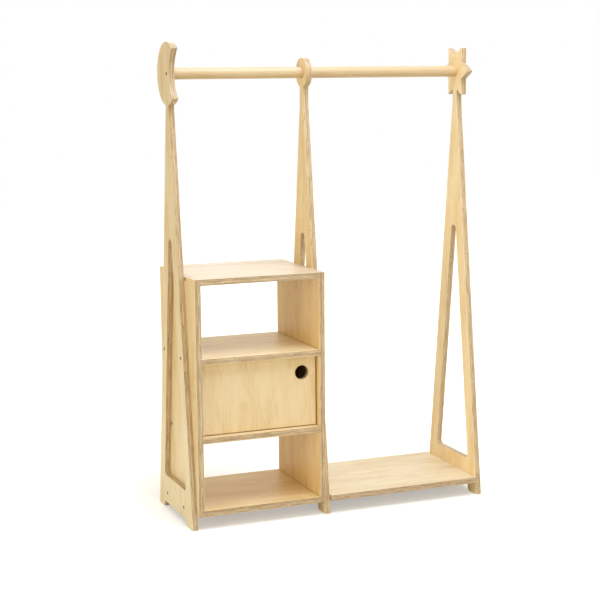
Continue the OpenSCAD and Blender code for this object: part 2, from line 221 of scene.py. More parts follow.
class DoorSizes(bpy.types.PropertyGroup):
    """Finger hole of the cupboard door"""

    finger_radius: length("Finger hole", "Radius of the finger hole", 17.5)
    finger_in: length("Finger hole inset", "From its middle to the right edge of the door", 36.5)
    finger_down: length("Finger hole drop", "From its middle to the upper edge of the door", 39)


class MirrorSizes(bpy.types.PropertyGroup):
    """Corners, edges and screw holes of the mirror"""

    foot_round: length("Lower corners", "Radius of the lower corners", 10)
    head_round: length("Upper corners", "Radius of the upper corners", 4)
    screw_hole: length("Screw holes", "Radius of the screw holes", 1.85)
    screw_up: length("Screw height", "From the screws to the lower or the upper edge", 14)
    foot_in: length("Lower screws", "From the lower screws to the lower corners", 14)
    head_in: length("Upper screws", "From the upper screws to the upper corners", 8)
    edge_easing: length("Edge easing", "Width of the eased edges", 0.35)


class StudioLevels(bpy.types.PropertyGroup):
    """Lamps, world and floor"""

    sky: amount("Sky", "Level of the light that comes from all round", 0.6, 4.0)
    overhead: amount("Overhead lamp", "Radiance of the wide lamp above the unit", 6.7, 20.0)
    front: amount("Front lamp", "Radiance of the wide lamp in front of the unit", 0.55, 20.0)
    side: amount("Side lamp", "Radiance of the wide lamp at the left of the unit", 3.8, 20.0)
    rear: amount("Rear lamp", "Radiance of the wide lamp high behind the unit", 1.3, 20.0)
    floor: amount("Floor", "Share of light that the pale floor gives back", 0.72)
    floor_lift: amount("Floor lift", "Light added to the floor where the camera sees it", 0.38)


# ---------------------------------------------------------------- nodes


class Signal:
    """Output socket of a node; arithmetic on it adds Math nodes to its tree."""

    def __init__(self, nodes, socket):
        self.nodes = nodes
        self.socket = socket

    def math(self, operation, *values):
        return self.nodes.add("ShaderNodeMath", {"operation": operation}, dict(enumerate(values)))

    def __add__(self, other):
        return self.math("ADD", self, other)

    def __radd__(self, other):
        return self.math("ADD", other, self)

    def __sub__(self, other):
        return self.math("SUBTRACT", self, other)

    def __rsub__(self, other):
        return self.math("SUBTRACT", other, self)

    def __mul__(self, other):
        return self.math("MULTIPLY", self, other)

    def __rmul__(self, other):
        return self.math("MULTIPLY", other, self)

    def __mod__(self, other):
        return self.math("MODULO", self, other)

    def __pow__(self, other):
        return self.math("POWER", self, other)

    def __abs__(self):
        return self.math("ABSOLUTE", self)

    def floor(self):
        return self.math("FLOOR", self)

    def fraction(self):
        return self.math("FRACT", self)

    def least(self, other):
        """The smaller of the two."""
        return self.math("MINIMUM", self, other)

    def most(self, other):
        """The larger of the two."""
        return self.math("MAXIMUM", self, other)

    def toward(self, other, share):
        """This value moved towards the other by a share of 0 to 1."""
        return self + (other - self) * share

    def rise(self, start, end):
        """0 before start, 1 after end, smooth between them; start may be the larger."""
        return self.nodes.add(
            "ShaderNodeMapRange",
            {"interpolation_type": "SMOOTHSTEP"},
            {"Value": self, "From Min": start, "From Max": end},
        )


class Nodes:
    """Adds nodes to one tree."""

    def __init__(self, tree):
        self.tree = tree

    def add(self, kind, settings=None, inputs=None, take=0):
        """New node: its settings first, then the values or links of its sockets. Gives the
        output that take names, or a tuple of outputs, or the node where it has none."""
        node = self.tree.nodes.new(kind)
        for name, value in (settings or {}).items():
            setattr(node, name, value)
        for name, value in (inputs or {}).items():
            socket = node.inputs[name]
            for source in value if isinstance(value, list) else [value]:
                if isinstance(source, Signal):
                    self.tree.links.new(source.socket, socket)
                else:
                    socket.default_value = source
        if isinstance(take, tuple):
            return tuple(Signal(self, node.outputs[name]) for name in take)
        return Signal(self, node.outputs[take]) if node.outputs else node

    def mix(self, share, first, second):
        """First colour moved towards the second by a share of 0 to 1."""
        return self.add(
            "ShaderNodeMix", {"data_type": "RGBA"}, {0: share, 6: first, 7: second}, take=2
        )

    def vector(self, x, y, z):
        return self.add("ShaderNodeCombineXYZ", inputs={0: x, 1: y, 2: z})

    def split(self, vector):
        return self.add("ShaderNodeSeparateXYZ", inputs={0: vector}, take=(0, 1, 2))

    def noise(self, place, detail=2.0, scale=1.0):
        return self.add(
            "ShaderNodeTexNoise", inputs={"Vector": place, "Scale": scale, "Detail": detail}
        )

    def streaks(self, place, waves, detail):
        """Stretched noise: waves says how many there are in a metre along each axis."""
        spread = self.add("ShaderNodeVectorMath", {"operation": "MULTIPLY"}, {0: place, 1: waves})
        return self.noise(spread, detail)

    def bump(self, height, distance, strength):
        return self.add(
            "ShaderNodeBump", inputs={"Height": height, "Distance": distance, "Strength": strength}
        )

    def raised(self, geometry, height):
        """Geometry moved up by a height."""
        shift = self.vector(0.0, 0.0, height)
        return self.add(
            "GeometryNodeTransform", inputs={"Geometry": geometry, "Translation": shift}
        )


def start_material(name):
    """New material with nothing in it but the place on the piece that patterns follow."""
    material = bpy.data.materials.new(name)
    material.use_nodes = True
    material.node_tree.nodes.clear()
    nodes = Nodes(material.node_tree)
    return material, nodes, nodes.add("ShaderNodeTexCoord", take="Object")


def finish_material(material, nodes, **sockets):
    """Ends the material in one Principled shader, whose sockets are named with _ for a space."""
    values = {name.replace("_", " "): value for name, value in sockets.items()}
    shader = nodes.add("ShaderNodeBsdfPrincipled", inputs=values)
    nodes.add("ShaderNodeOutputMaterial", inputs={"Surface": shader})
    return material


# ---------------------------------------------------------------- materials


# No two sheets of veneer are alike, and light and shade are painted into them as well. For each
# board: the seed of its figure; how far its faces lean to the dark colour, partly the sheet's own
# tone and partly painted light and shade; how much further they do at the far end of the grain,
# which is painted light: the lower part lighter, as floor light makes it, the upper part darker;
# and what their red, green and blue are multiplied by, partly the sheet's own tone and partly
# painted light: the cabinet top, upper shelf, bay shelf and door less yellow for a painted sheen,
# the cabinet's right side and base warmer for painted shade inside the cabinet, and the right
# trestle brighter.
SHEETS_AND_PAINTED_LIGHT = {
    "trestle_left": (1.3, -0.25, 0.5, (0.97, 1.02, 1.12)),
    "trestle_centre": (23.1, -0.1, 0.15, (1.02, 1.01, 0.99)),
    "trestle_right": (47.9, 0.0, 0.0, (1.15, 1.17, 1.24)),
    "cabinet_side_left": (71.7, -0.2, 0.3, (1.02, 1.03, 1.07)),
    "cabinet_side_right": (90.2, 0.05, 0.0, (1.05, 1.0, 0.89)),
    "cabinet_top": (112.4, 0.0, 0.0, (0.79, 0.83, 1.05)),
    "upper_shelf": (133.8, 0.08, 0.0, (1.04, 1.09, 1.14)),
    "lower_shelf": (158.1, 0.05, 0.0, (1.0, 1.0, 1.02)),
    "cabinet_base": (171.6, 0.1, 0.0, (0.98, 0.965, 0.87)),
    "cupboard_back": (203.5, 0.12, 0.0, (1.0, 1.0, 1.0)),
    "bay_shelf": (229.3, 0.0, 0.0, (0.89, 0.935, 1.09)),
    "door": (12.6, 0.0, 0.0, (1.03, 1.045, 1.11)),
}


def toned(value, tone):
    """Colour with its red, green and blue multiplied."""
    return (*(channel * share for channel, share in zip(value, tone)), 1.0)


def plywood(node, through, plies=None):
    """Lacquered birch plywood for the board of one CAD node.

    The veneers are stacked along the axis through. The grain of the faces and of every second
    veneer runs along X where the board lies, and along Z where it stands. A veneer that is cut
    across shows dark end grain, one that is cut along shows pale wood, so the sawn edges come
    out striped.
    """
    look = bpy.context.scene.plywood_look
    plies = plies or look.plies
    seed, shade, drift, tone = SHEETS_AND_PAINTED_LIGHT[node]
    material, nodes, point = start_material(f"plywood {node}")
    place = nodes.split(point)
    facing = nodes.split(nodes.add("ShaderNodeTexCoord", take="Normal"))
    t, g = AXES.index(through), AXES.index("X" if through == "Z" else "Z")
    c = 3 - t - g

    # Which veneer, and how far into it; each reads a lane of the noise of its own
    low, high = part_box(node)
    waviness = nodes.noise(point, scale=14.0) - 0.5
    depth = (place[t] - low[t]) * (plies / (high[t] - low[t])) + waviness * 0.3
    ply = depth.most(0.01).least(plies - 0.01).floor()
    crossed = ply % 2.0
    along = place[g].toward(place[c], crossed)
    across = place[c].toward(place[g], crossed)
    end = abs(facing[g]).toward(abs(facing[c]), crossed).rise(0.25, 0.95)
    lane = ply * 3.7 + seed
    veneer = nodes.vector(along, across, lane)

    # Growth rings: contour lines that run along the grain and close into flames
    flow = nodes.streaks(veneer, (4.5, 17.0, 1.0), detail=1.5)
    rings = (across * 62.0 + flow * 10.0).fraction() ** 2.0
    clouds = nodes.streaks(veneer, (7.0, 30.0, 1.0), detail=3.0)
    deep = nodes.vector(along, across, place[t] * 900.0 + lane)
    fibres = nodes.streaks(deep, (24.0, 900.0, 1.0), detail=3.0)
    flecks = nodes.streaks(veneer, (170.0, 1300.0, 1.0), detail=1.0).rise(0.66, 0.76)
    depth_of_tone = (
        rings * (look.figure * clouds.rise(0.3, 0.7))
        + fibres.rise(0.3, 0.8) * 0.34
        + clouds.rise(0.35, 0.75) * 0.3
        + flecks * 0.16
    )
    # Painted light: each board's tone and lean, and a lean that grows along the grain up to three
    # fifths of its length, so that the lower end is lighter and the upper end darker
    light, dark = toned(look.face_light, tone), toned(look.face_dark, tone)
    lean_and_painted_light = place[g].rise(low[g], 0.4 * low[g] + 0.6 * high[g]) * drift + shade
    face = nodes.mix((depth_of_tone + lean_and_painted_light).least(1.0).most(0.0), light, dark)

    # Each core veneer has its own tone, dark ones lie together, and here and there is a gap,
    # painted dark for the shade inside it
    outside = abs(facing[t]).rise(0.9, 0.5)
    tint = nodes.noise(nodes.vector(lane * 5.3, seed, 0.5), detail=0.0).rise(0.3, 0.7)
    stretch = nodes.vector(ply * 0.8 + seed, place[g], place[c])
    band = nodes.streaks(stretch, (1.0, 22.0, 22.0), detail=3.0).rise(0.45, 0.6)
    pores = fibres.rise(0.3, 0.7) * 0.3 + tint * 0.7
    sawn = nodes.mix(pores, look.end_light[:], look.end_dark[:])
    core = (depth - 1.0).rise(0.0, 0.08) * (plies - 1.0 - depth).rise(0.0, 0.08)
    pale = nodes.mix(core * (0.5 + tint * 0.5), face, look.core[:])
    stack = nodes.mix(end, pale, sawn)
    wood = nodes.mix(band * core * outside * look.banding, stack, look.band[:])
    joint = abs((depth - 0.5).fraction() - 0.5).rise(0.16, 0.05)
    seam = joint * core.most((depth - 0.8).rise(0.0, 0.1))
    glued = nodes.mix(seam * outside * 0.78, wood, look.glue[:])
    holes = nodes.streaks(veneer, (110.0, 110.0, 2.3), detail=1.0).rise(0.7, 0.74)
    gaps = holes * core * outside * crossed

    return finish_material(
        material,
        nodes,
        Base_Color=nodes.mix(gaps * 0.7, glued, look.gap[:]),
        Roughness=look.roughness + fibres * 0.08 - outside * 0.1 + gaps * 0.3,
        Specular_IOR_Level=0.25,
        Normal=nodes.bump(fibres * 0.25 - seam * outside * 0.5 - gaps, 0.0002, 0.35),
    )


def rail_wood(name):
    """Turned birch: fine fibres and long growth rings along X."""
    look = bpy.context.scene.plywood_look
    material, nodes, point = start_material(name)
    x, y, z = nodes.split(point)
    fibres = nodes.streaks(point, (14.0, 800.0, 800.0), detail=3.0)
    drift = nodes.streaks(point, (2.2, 40.0, 40.0), detail=1.0)
    rings = (y * 240.0 + z * 90.0 + drift * 3.0).fraction() ** 3.0
    clouds = nodes.streaks(point, (5.0, 60.0, 60.0), detail=2.0)
    tone = fibres.rise(0.3, 0.8) * 0.35 + rings * 0.35 + clouds.rise(0.35, 0.7) * 0.2
    # Darker than the boards' faces: partly the rail's own tone and partly painted shade that
    # offsets the overhead lamp, which is closer to the rail
    share = (0.8, 0.765, 0.77)
    return finish_material(
        material,
        nodes,
        Base_Color=nodes.mix(tone, toned(look.face_light, share), toned(look.face_dark, share)),
        Roughness=0.3 + fibres * 0.1,
        Normal=nodes.bump(fibres, 0.0001, 0.25),
    )


def screw_steel(name, tint):
    """Bronzed steel of the panel screws, worn a little brighter where noise is high."""
    material, nodes, point = start_material(name)
    wear = nodes.noise(point, detail=3.0, scale=900.0)
    return finish_material(
        material,
        nodes,
        Base_Color=nodes.mix(wear.rise(0.35, 0.65), toned(tint, [0.45] * 3), tint[:]),
        Metallic=0.5,
        Roughness=0.4 + wear * 0.24,
        Normal=nodes.bump(wear, 0.00005, 0.3),
    )


def zinc(name, tint):
    """Zinc plate with faint brushing along Z."""
    material, nodes, point = start_material(name)
    brushing = nodes.streaks(point, (2500.0, 2500.0, 60.0), detail=2.0)
    bloom = nodes.noise(point, scale=220.0)
    return finish_material(
        material,
        nodes,
        Base_Color=nodes.mix(bloom.rise(0.35, 0.7), tint[:], toned(tint, [0.72] * 3)),
        Metallic=1.0,
        Roughness=0.26 + bloom * 0.16,
        Normal=nodes.bump(brushing, 0.00004, 0.4),
    )


def catch_plastic(name):
    """White moulded plastic with a fine spark-eroded grain."""
    material, nodes, point = start_material(name)
    grain = nodes.noise(point, scale=2600.0)
    white, shaded = srgb(240, 239, 233), srgb(226, 225, 218)
    return finish_material(
        material,
        nodes,
        Base_Color=nodes.mix(grain.rise(0.3, 0.7) * 0.5, white, shaded),
        Roughness=0.42 + grain * 0.12,
        Normal=nodes.bump(grain, 0.00004, 0.3),
    )


def mirror_sheet(name):
    """Mirrored acrylic: silvered faces, and a clear sawn edge that looks grey."""
    material, nodes, point = start_material(name)
    facing = nodes.split(nodes.add("ShaderNodeTexCoord", take="Normal"))
    edge = abs(facing[0]).rise(0.95, 0.6)
    saw = nodes.streaks(point, (300.0, 1500.0, 1500.0), detail=2.0)
    ripple = nodes.noise(point, detail=0.0, scale=7.0)
    silver, grey = srgb(236, 240, 240), srgb(196, 208, 205)
    return finish_material(
        material,
        nodes,
        Base_Color=nodes.mix(edge, silver, grey),
        Metallic=1.0 - edge,
        Roughness=0.02 + edge * (0.18 + saw * 0.2),
        Normal=nodes.bump(ripple, 0.0004, 0.15),
    )


def finish(name, make, *values):
    """Material of this name, made once."""
    return bpy.data.materials.get(name) or make(name, *values)


def zinc_plate():
    return finish("zinc plate", zinc, bpy.context.scene.fixing_sizes.zinc_colour)


# ---------------------------------------------------------------- geometry trees


def start_tree(name, sockets):
    """New geometry tree with a geometry input and output and the named inputs."""
    tree = bpy.data.node_groups.new(name, "GeometryNodeTree")
    tree.interface.new_socket("Geometry", in_out="INPUT", socket_type="NodeSocketGeometry")
    for socket, kind in sockets.items():
        tree.interface.new_socket(socket, in_out="INPUT", socket_type=f"NodeSocket{kind}")
    tree.interface.new_socket("Geometry", in_out="OUTPUT", socket_type="NodeSocketGeometry")
    nodes = Nodes(tree)
    names = ("Geometry", *sockets)
    return tree, nodes, dict(zip(names, nodes.add("NodeGroupInput", take=names)))


def finish_tree(nodes, geometry, material):
    """Ends the tree in Realize Instances and Set Material."""
    realized = nodes.add("GeometryNodeRealizeInstances", inputs={"Geometry": geometry})
    painted = nodes.add(
        "GeometryNodeSetMaterial", inputs={"Geometry": realized, "Material": material}
    )
    nodes.add("NodeGroupOutput", inputs={"Geometry": painted})


def board_tree(name):
    """Cuts a board from closed loops of edges that lie in its lower face: fills them, and raises
    the sawn edges round them in steps, with rounded edges at both faces. The attribute outward
    of each point leads from the loop to the sawn edge, for an easing of 1."""
    sockets = {
        "Thickness": "Float",
        "Easing": "Float",
        "Place": "Vector",
        "Turn": "Rotation",
        "Finish": "Material",
    }
    tree, nodes, given = start_tree(name, sockets)
    curve = nodes.add("GeometryNodeMeshToCurve", inputs={"Mesh": given["Geometry"]})
    face = nodes.add("GeometryNodeFillCurve", {"mode": "TRIANGLES"}, {"Curve": curve})
    under = nodes.add("GeometryNodeFlipFaces", inputs={"Mesh": face})
    above = nodes.raised(face, given["Thickness"])

    # Each step of the sawn edge goes so far out and so far up
    easing = given["Easing"]
    near, far = easing * (1 - math.sqrt(0.5)), easing * math.sqrt(0.5)
    steps = (
        (far, near),
        (near, far),
        (0.0, given["Thickness"] - easing * 2.0),
        (near * -1.0, far),
        (far * -1.0, near),
    )
    outward = nodes.add(
        "GeometryNodeInputNamedAttribute", {"data_type": "FLOAT_VECTOR"}, {"Name": "outward"}
    )
    sawn, rim = given["Geometry"], True
    for out, up in steps:
        sawn, rim = nodes.add(
            "GeometryNodeExtrudeMesh",
            {"mode": "EDGES"},
            {"Mesh": sawn, "Selection": rim, "Offset Scale": 0.0},
            take=("Mesh", "Top"),
        )
        side = nodes.add("ShaderNodeVectorMath", {"operation": "SCALE"}, {0: outward, "Scale": out})
        rise = nodes.vector(0.0, 0.0, up)
        shift = nodes.add("ShaderNodeVectorMath", {"operation": "ADD"}, {0: side, 1: rise})
        sawn = nodes.add(
            "GeometryNodeSetPosition", inputs={"Geometry": sawn, "Selection": rim, "Offset": shift}
        )

    sawn = nodes.add("GeometryNodeFlipFaces", inputs={"Mesh": sawn})
    shell = nodes.add("GeometryNodeJoinGeometry", inputs={"Geometry": [above, under, sawn]})
    closed = nodes.add(
        "GeometryNodeMergeByDistance", inputs={"Geometry": shell, "Distance": 1e-6}
    )
    clean = nodes.add(
        "GeometryNodeRemoveAttribute", inputs={"Geometry": closed, "Name": "outward"}
    )
    placed = nodes.add(
        "GeometryNodeTransform",
        inputs={"Geometry": clean, "Translation": given["Place"], "Rotation": given["Turn"]},
    )
    finish_tree(nodes, placed, given["Finish"])
    return tree


def screw_tree(name):
    """Puts a screw on every point: a head with a cross recess, and a shank below it."""
    lengths = (
        "Head radius", "Neck radius", "Head height", "Head base",
        "Shank radius", "Length", "Recess depth",
    )
    sockets = {**dict.fromkeys(lengths, "Float"), "Turn": "Rotation", "Finish": "Material"}
    tree, nodes, given = start_tree(name, sockets)
    cone = nodes.add(
        "GeometryNodeMeshCone",
        inputs={
            "Vertices": 32,
            "Radius Top": given["Head radius"],
            "Radius Bottom": given["Neck radius"],
            "Depth": given["Head height"],
        },
    )
    # Two bars cut the cross: their length and width go with the head's radius
    top = given["Head base"] + given["Head height"]
    long, short = given["Head radius"] * 1.15, given["Head radius"] * 0.24
    cross = []
    for x, y in ((long, short), (short, long)):
        size = nodes.vector(x, y, given["Recess depth"] * 2.0)
        cross.append(nodes.raised(nodes.add("GeometryNodeMeshCube", inputs={"Size": size}), top))
    head = nodes.add(
        "GeometryNodeMeshBoolean",
        {"operation": "DIFFERENCE", "solver": "EXACT"},
        {"Mesh 1": nodes.raised(cone, given["Head base"]), "Mesh 2": cross},
    )
    shank_length = given["Length"] + given["Head base"]
    shank = nodes.add(
        "GeometryNodeMeshCylinder",
        inputs={"Vertices": 24, "Radius": given["Shank radius"], "Depth": shank_length},
    )
    shank = nodes.raised(shank, given["Head base"] - shank_length * 0.5)
    screw = nodes.add("GeometryNodeJoinGeometry", inputs={"Geometry": [head, shank]})
    spin = nodes.add(
        "FunctionNodeRandomValue",
        {"data_type": "FLOAT"},
        {"Min": 0.0, "Max": 1.5, "Seed": 4},
        take=1,
    )
    turned = nodes.add(
        "FunctionNodeAxisAngleToRotation", inputs={"Axis": (0.0, 0.0, 1.0), "Angle": spin}
    )
    facing = nodes.add(
        "FunctionNodeRotateRotation",
        {"rotation_space": "LOCAL"},
        {"Rotation": given["Turn"], "Rotate By": turned},
    )
    placed = nodes.add(
        "GeometryNodeInstanceOnPoints",
        inputs={"Points": given["Geometry"], "Instance": screw, "Rotation": facing},
    )
    finish_tree(nodes, placed, given["Finish"])
    return tree


def run_tree(piece, name, make, values):
    """Adds the tree of this name to a piece and sets its inputs by their identifiers."""
    modifier = piece.modifiers.new(name, "NODES")
    modifier.node_group = bpy.data.node_groups.get(name) or make(name)
    for item in modifier.node_group.interface.items_tree:
        if item.in_out == "INPUT" and item.name in values:
            modifier[item.identifier] = values[item.name]


# ---------------------------------------------------------------- meshes


def new_piece(name, points, edges=(), faces=()):
    """Object at the origin with its own mesh."""
    mesh = bpy.data.meshes.new(name)
    mesh.from_pydata([tuple(point) for point in points], edges, faces)
    piece = bpy.data.objects.new(name, mesh)
    bpy.context.scene.collection.objects.link(piece)
    return piece


def ease_edges(piece, width, segments=2):
    """Rounds the sharp edges and keeps the flat faces flat in the shading."""
    bevel = piece.modifiers.new("Eased edges", "BEVEL")
    bevel.width = width
    bevel.segments = segments
    bevel.limit_method = "ANGLE"
    bevel.angle_limit = SHARP_ANGLE
    keep_flat(piece)


def shade(piece):
    """Shades the rounded surfaces smooth and keeps the sharp edges sharp."""
    piece.data.shade_smooth()
    piece.data.set_sharp_from_angle(angle=SHARP_ANGLE)


def keep_flat(piece):
    """Keeps the flat faces flat where they meet rounded edges in the shading."""
    normals = piece.modifiers.new("Flat faces", "WEIGHTED_NORMAL")
    normals.keep_sharp = True


def settle(piece):
    """Turns what the modifiers make into the piece's own plain mesh."""
    bpy.context.view_layer.update()
    evaluated = piece.evaluated_get(bpy.context.evaluated_depsgraph_get())
    mesh = bpy.data.meshes.new_from_object(evaluated)
    plain = piece.data
    piece.modifiers.clear()
    piece.data = mesh
    mesh.name = plain.name
    bpy.data.meshes.remove(plain)
    if len(mesh.materials) > 1 and not mesh.materials[0]:
        mesh.materials.pop(index=0)


def stand_for(piece, body, node):
    """Makes the piece ride on a body in place of its CAD node."""
    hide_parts(node)
    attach(piece, body)


def paint_node(node, material):
    """Gives a CAD node that stays as it is a better material."""
    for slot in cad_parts[node].material_slots:
        slot.material = material


def middle(node):
    """Middle of a CAD node's box."""
    low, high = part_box(node)
    return (low + high) / 2


def circle(centre, radius, steps):
    """Closed loop of points round a centre."""
    turns = (2 * math.pi * step / steps for step in range(steps))
    return [(centre[0] + radius * math.cos(a), centre[1] + radius * math.sin(a)) for a in turns]


def arc(centre, radius, start, end, step=3.0):
    """Points of an arc between two angles in degrees, either way round, with both ends."""
    count = max(2, math.ceil(abs(end - start) / step))
    angles = (math.radians(start + (end - start) * i / count) for i in range(count + 1))
    return [(centre[0] + radius * math.cos(a), centre[1] + radius * math.sin(a)) for a in angles]


def soften(corners, radii, step=8.0):
    """Loop through the corners, each rounded to its radius; 0 leaves a corner sharp."""
    loop = []
    for i, (corner, radius) in enumerate(zip(corners, radii)):
        here = Vector(corner)
        if not radius:
            loop.append(tuple(here))
            continue
        before = (Vector(corners[i - 1]) - here).normalized()
        after = (Vector(corners[(i + 1) % len(corners)]) - here).normalized()
        half = before.angle(after) / 2
        centre = here + (before + after).normalized() * (radius / math.sin(half))
        first = here + before * (radius / math.tan(half)) - centre
        last = here + after * (radius / math.tan(half)) - centre
        start = math.degrees(math.atan2(first.y, first.x))
        end = math.degrees(math.atan2(last.y, last.x))
        end = start + (end - start + 180) % 360 - 180
        loop += arc(centre, radius, start, end, step)
    return loop


def rectangle(low, high):
    """Loop round a rectangle, its corners barely rounded."""
    corners = [(low[0], low[1]), (high[0], low[1]), (high[0], high[1]), (low[0], high[1])]
    return soften(corners, [CORNER_ROUND] * 4, step=22.5)


def wound(loop, clockwise):
    """The loop in the given direction."""
    area = sum(a[0] * b[1] - b[0] * a[1] for a, b in zip(loop, loop[1:] + loop[:1]))
    return loop[::-1] if (area > 0) == clockwise else loop


def outward_steps(loop):
    """For each point, the step that moves both edges beside it outward by 1."""
    points = [Vector(point) for point in loop]
    steps = []
    for i, here in enumerate(points):
        before = (here - points[i - 1]).normalized()
        after = (points[(i + 1) % len(points)] - here).normalized()
        sides = Vector((before.y + after.y, -before.x - after.x))
        steps.append(sides / (1 + before.dot(after)))
    return steps


def outline_piece(name, loops, easing):
    """Piece whose mesh is the loops of edges that a board is cut from: the first is the outer
    edge, the others are holes. They are drawn in by the easing, and know the way out."""
    points, edges, ways = [], [], []
    for number, loop in enumerate(loops):
        loop = wound(loop, clockwise=number > 0)
        first = len(points)
        for (u, v), step in zip(loop, outward_steps(loop)):
            points.append((u - step.x * easing, v - step.y * easing, 0.0))
            ways += [step.x, step.y, 0.0]
        edges += [(first + i, first + (i + 1) % len(loop)) for i in range(len(loop))]
    piece = new_piece(name, points, edges)
    piece.data.attributes.new("outward", "FLOAT_VECTOR", "POINT").data.foreach_set("vector", ways)
    return piece


def cut_board(node, through, loops, material, kind="board", body="frame",
              easing=None, cutter=None):
    """Board in place of a CAD node: as thick as the node's box along the axis through, cut by
    the tree to the loops of its outline and holes, with eased edges."""
    low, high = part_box(node)
    axis = AXES.index(through)
    place = [0.0, 0.0, 0.0]
    place[axis] = high[axis] if through == "Y" else low[axis]
    easing = easing or bpy.context.scene.trestle_sizes.easing
    piece = outline_piece(f"{node}_{kind}", loops, easing)
    values = {
        "Thickness": high[axis] - low[axis],
        "Easing": easing,
        "Place": tuple(place),
        "Turn": OUTLINE_TURNS[through],
        "Finish": material,
    }
    run_tree(piece, "Cut board", board_tree, values)
    if cutter:
        housing = piece.modifiers.new("Housings", "BOOLEAN")
        housing.object = cutter
        housing.solver = "EXACT"
    settle(piece)
    if cutter:
        bpy.data.objects.remove(cutter)
    shade(piece)
    keep_flat(piece)
    settle(piece)
    stand_for(piece, body, node)


def lying_board(node):
    """Shelf or other board that lies flat, as long and as deep as its CAD node."""
    low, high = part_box(node)
    cut_board(node, "Z", [rectangle(low.xy, high.xy)], plywood(node, "Z"))


def blocks(name, boxes):
    """Piece made of separate closed blocks, each given by its lowest and highest corner."""
    shell = bmesh.new()
    for low, high in boxes:
        low, high = Vector(low), Vector(high)
        size = Matrix.Diagonal(high - low).to_4x4()
        bmesh.ops.create_cube(shell, size=1.0, matrix=Matrix.Translation((low + high) / 2) @ size)
    piece = new_piece(name, [])
    shell.to_mesh(piece.data)
    shell.free()
    return piece


def turned_bar(name, start, end, radius, easing, sides):
    """Round bar along X from start to end with eased ends."""
    shoulder = [(easing * (1 - math.sin(a)), radius - easing * (1 - math.cos(a)))
                for a in (math.pi / 2, math.pi / 3, math.pi / 6, 0.0)]
    profile = [(start.x + run, r) for run, r in shoulder]
    profile += [(end.x - run, r) for run, r in reversed(shoulder)]
    points, faces = [], []
    for x, r in profile:
        points += [(x, start.y + u, start.z + v) for u, v in circle((0.0, 0.0), r, sides)]
    for ring in range(len(profile) - 1):
        for i in range(sides):
            a, b = ring * sides + i, ring * sides + (i + 1) % sides
            faces.append((a, b, b + sides, a + sides))
    faces.append(tuple(range(sides))[::-1])
    faces.append(tuple(range(len(points) - sides, len(points))))
    piece = new_piece(name, points, faces=faces)
    flip_outward(piece)
    return piece


def flip_outward(piece):
    """Points every face of closed shells outward."""
    shell = bmesh.new()
    shell.from_mesh(piece.data)
    bmesh.ops.recalc_face_normals(shell, faces=shell.faces)
    shell.to_mesh(piece.data)
    shell.free()
    piece.data.update()


def place_screws(name, points, turn, material, sizes, sunk):
    """Screws on the points, all facing one way, by the screw tree. The sizes are the radius and
    height of the head, the radius and length of the shank, the depth of the cross recess and
    the width of the eased edges."""
    head, height, shank, reach, recess, easing = sizes
    piece = new_piece(name, points)
    values = {
        "Head radius": head,
        "Neck radius": shank if sunk else head,
        "Head height": height,
        "Head base": -height if sunk else 0.0,
        "Shank radius": shank,
        "Length": reach,
        "Recess depth": recess,
        "Turn": turn,
        "Finish": material,
    }
    run_tree(piece, "Place screws", screw_tree, values)
    ease_edges(piece, easing)
    settle(piece)
    return piece


def zinc_screws(node, kind, points, turn, body="frame"):
    """Small zinc screws of one kind in place of a CAD node."""
    *sizes, sunk = ZINC_SCREWS[kind]
    sizes = [size * MM for size in sizes]
    name = f"{node.removesuffix('s')}_set"
    piece = place_screws(name, points, turn, zinc_plate(), sizes, sunk)
    stand_for(piece, body, node)


def panel_points(x, heights):
    """Places of the panel screws at one face: two for each height."""
    reach = bpy.context.scene.fixing_sizes.panel_reach
    return [(x, side * reach, z) for z in heights for side in (-1, 1)]


def panel_holes(heights, extra=()):
    """Round holes for sunk heads, as loops of an outline that stands along Y and Z."""
    sizes = bpy.context.scene.fixing_sizes
    places = [(y, z) for x, y, z in panel_points(0.0, heights)] + list(extra)
    return [circle(place, sizes.panel_head + sizes.head_gap, steps=32) for place in places]


# ---------------------------------------------------------------- trestles


def side_slope():
    """How far each side of a trestle leans in, for each metre of height."""
    sizes = bpy.context.scene.trestle_sizes
    return (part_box("trestle_centre")[1].y - sizes.stem_width / 2) / sizes.stem_height


def moon_head(sizes, height):
    """Crescent from the rear of the stem to its front, opening towards the front."""
    outer, inner, offset, tip = (
        sizes.moon_radius, sizes.bite_radius, sizes.bite_offset, sizes.tip_round
    )
    centre, bite = (0.0, height), (-offset, height)
    rear = math.degrees(math.acos(sizes.stem_width / 2 / outer))
    # The tip's small circle touches the moon's edge from inside and the bite's from outside
    tip_y = -(offset**2 + (outer - tip) ** 2 - (inner + tip) ** 2) / (2 * offset)
    tip_z = math.sqrt((outer - tip) ** 2 - tip_y**2)
    moon_turn = math.degrees(math.atan2(tip_z, tip_y))
    bite_turn = math.degrees(math.atan2(tip_z, tip_y + offset))
    return (
        arc(centre, outer, -rear, moon_turn)
        + arc((tip_y, height + tip_z), tip, moon_turn, bite_turn + 180, step=20.0)[1:-1]
        + arc(bite, inner, bite_turn, -bite_turn)
        + arc((tip_y, height - tip_z), tip, 180 - bite_turn, 360 - moon_turn, step=20.0)[1:-1]
        + arc(centre, outer, 360 - moon_turn, 180 + rear)
    )


def ring_head(sizes, height):
    """Round from the rear of the stem to its front."""
    rear = math.degrees(math.acos(sizes.stem_width / 2 / sizes.ring_radius))
    return arc((0.0, height), sizes.ring_radius, -rear, 180 + rear, step=4.0)


def star_head(sizes, height):
    """Six points from the rear of the stem to its front; the stem hides the lowest notch."""
    notch = sizes.star_radius / math.sqrt(3)
    corners, radii = [], []
    for i in range(11):
        turn = math.radians(-60 + 30 * i)
        reach = notch if i % 2 else sizes.star_radius
        corners.append((reach * math.cos(turn), height + reach * math.sin(turn)))
        radii.append(0.0 if i % 2 else sizes.tip_round)
    half = sizes.stem_width / 2
    meeting = height - notch - half * math.tan(math.radians(30))
    return soften([(half, meeting), *corners, (-half, meeting)], [0.0, *radii, 0.0], step=20.0)


